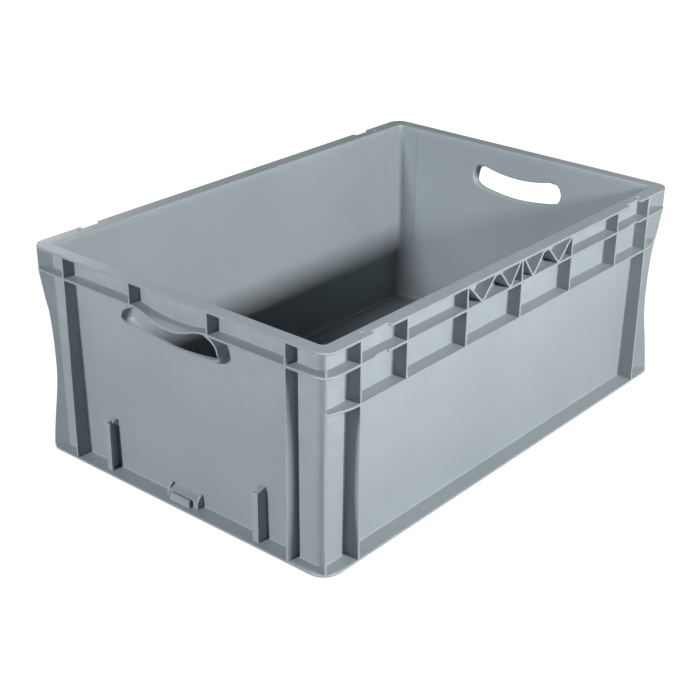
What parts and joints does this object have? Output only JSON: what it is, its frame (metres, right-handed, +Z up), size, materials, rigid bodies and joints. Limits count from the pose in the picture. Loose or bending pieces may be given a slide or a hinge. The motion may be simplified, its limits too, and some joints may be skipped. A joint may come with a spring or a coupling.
{
  "type": "stacking crate",
  "caption": "Open-topped rectangular stacking crate with closed floor and walls, flanged rim, rib-braced sides and open hand grips in both ends.",
  "frame": {"origin": "middle of the footprint, on the surface that the stacking foot rests on", "axes": "+X along the long side, +Y along the short side, +Z up out of the open top"},
  "size_m": [0.6, 0.4, 0.238],
  "materials": {
    "grey_polypropylene": "satin moulded polypropylene with a fine grain"
  },
  "bodies": {
    "root": {"base_flange": "grey_polypropylene", "floor_panel": "grey_polypropylene", "front_left_corner": "grey_polypropylene", "front_left_fin": "grey_polypropylene", "front_lower_flange": "grey_polypropylene", "front_post_left": "grey_polypropylene", "front_post_right": "grey_polypropylene", "front_rib_1": "grey_polypropylene", "front_rib_2": "grey_polypropylene", "front_rib_3": "grey_polypropylene", "front_rib_4": "grey_polypropylene", "front_rib_5": "grey_polypropylene", "front_right_corner": "grey_polypropylene", "front_right_fin": "grey_polypropylene", "front_truss_left": "grey_polypropylene", "front_truss_right": "grey_polypropylene", "front_upper_flange": "grey_polypropylene", "front_wall": "grey_polypropylene", "left_card_clip": "grey_polypropylene", "left_card_prong_front": "grey_polypropylene", "left_card_prong_rear": "grey_polypropylene", "left_end_wall": "grey_polypropylene", "left_hand_grip": "grey_polypropylene", "left_post_front": "grey_polypropylene", "left_post_rear": "grey_polypropylene", "left_rib_front": "grey_polypropylene", "left_rib_rear": "grey_polypropylene", "rear_left_corner": "grey_polypropylene", "rear_left_fin": "grey_polypropylene", "rear_lower_flange": "grey_polypropylene", "rear_post_left": "grey_polypropylene", "rear_post_right": "grey_polypropylene", "rear_rib_1": "grey_polypropylene", "rear_rib_2": "grey_polypropylene", "rear_rib_3": "grey_polypropylene", "rear_rib_4": "grey_polypropylene", "rear_rib_5": "grey_polypropylene", "rear_right_corner": "grey_polypropylene", "rear_right_fin": "grey_polypropylene", "rear_truss_left": "grey_polypropylene", "rear_truss_right": "grey_polypropylene", "rear_upper_flange": "grey_polypropylene", "rear_wall": "grey_polypropylene", "right_card_clip": "grey_polypropylene", "right_card_prong_front": "grey_polypropylene", "right_card_prong_rear": "grey_polypropylene", "right_end_wall": "grey_polypropylene", "right_hand_grip": "grey_polypropylene", "right_post_front": "grey_polypropylene", "right_post_rear": "grey_polypropylene", "right_rib_front": "grey_polypropylene", "right_rib_rear": "grey_polypropylene", "top_rim": "grey_polypropylene"}
  },
  "joints": []
}
